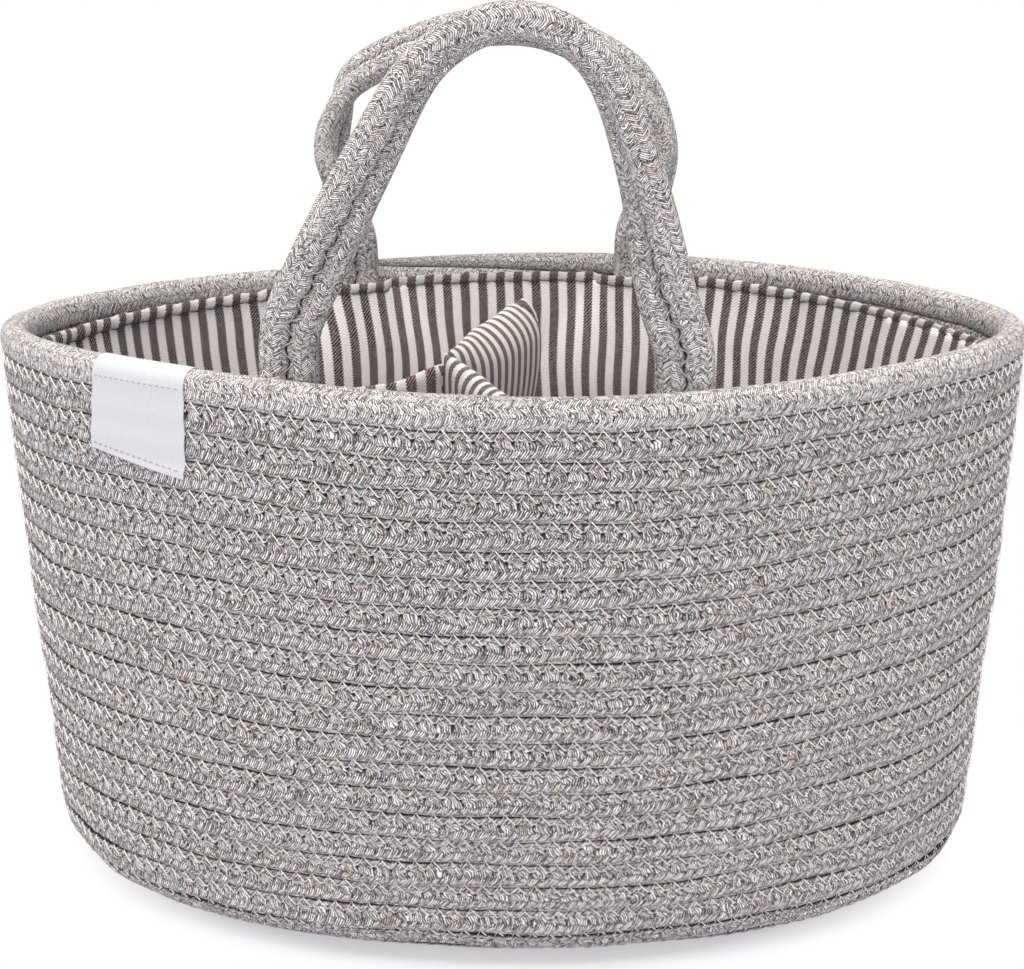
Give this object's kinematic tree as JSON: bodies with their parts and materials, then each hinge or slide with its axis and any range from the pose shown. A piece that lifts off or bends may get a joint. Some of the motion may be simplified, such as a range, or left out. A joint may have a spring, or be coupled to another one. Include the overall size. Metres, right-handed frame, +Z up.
{
  "type": "diaper caddy",
  "caption": "Oval basket wound from rope, with two rope handles, a striped cloth lining, a small label and a lift-out three-winged divider.",
  "frame": {"origin": "under the middle of the basket, on the surface that it stands on", "axes": "+X along the basket to the right, +Y to the back, +Z up; the label is on the front, -Y"},
  "size_m": [0.38, 0.2655, 0.3255],
  "materials": {
    "basket_rope": "heathered grey cotton rope",
    "handle_rope": "heathered grey cotton rope",
    "lining_cloth": "twill with even taupe and off-white stripes",
    "label_tape": "white satin tape",
    "divider_cloth": "padded twill with taupe and off-white stripes"
  },
  "bodies": {
    "basket": {"base_coil": "basket_rope", "wall_coil": "basket_rope", "lining_wall": "lining_cloth", "lining_floor": "lining_cloth", "lining_hem": "lining_cloth", "label_tag": "label_tape", "front_left_outer_tail": "handle_rope", "front_left_inner_tail": "handle_rope", "front_right_outer_tail": "handle_rope", "front_right_inner_tail": "handle_rope", "back_left_outer_tail": "handle_rope", "back_left_inner_tail": "handle_rope", "back_right_outer_tail": "handle_rope", "back_right_inner_tail": "handle_rope"},
    "front_handle": {"front_handle_outer_rope": "handle_rope", "front_handle_inner_rope": "handle_rope"},
    "back_handle": {"back_handle_outer_rope": "handle_rope", "back_handle_inner_rope": "handle_rope"},
    "divider": {"divider_back_wing": "divider_cloth", "divider_front_wing": "divider_cloth", "divider_seam": "divider_cloth"},
    "divider_left_wing": {"divider_left_wing": "divider_cloth"}
  },
  "joints": [
    {"name": "front_handle_swing", "type": "hinge", "parent": "basket", "child": "front_handle", "pos_m": [-0.0065, -0.10131, 0.224], "axis": [0.9997, -0.0224, 0], "range_deg": [-92, 80]},
    {"name": "back_handle_swing", "type": "hinge", "parent": "basket", "child": "back_handle", "pos_m": [-0.009, 0.10532, 0.224], "axis": [0.9994, 0.034, 0], "range_deg": [-80, 92]},
    {"name": "divider_lift", "type": "slide", "parent": "basket", "child": "divider", "axis": [0, 0, 1], "range_m": [0, 0.24]},
    {"name": "divider_left_wing_swing", "type": "hinge", "parent": "divider", "child": "divider_left_wing", "pos_m": [-0.02496, -0.00293, 0.1], "axis": [0, 0, 1], "range_deg": [-50, 8]}
  ]
}
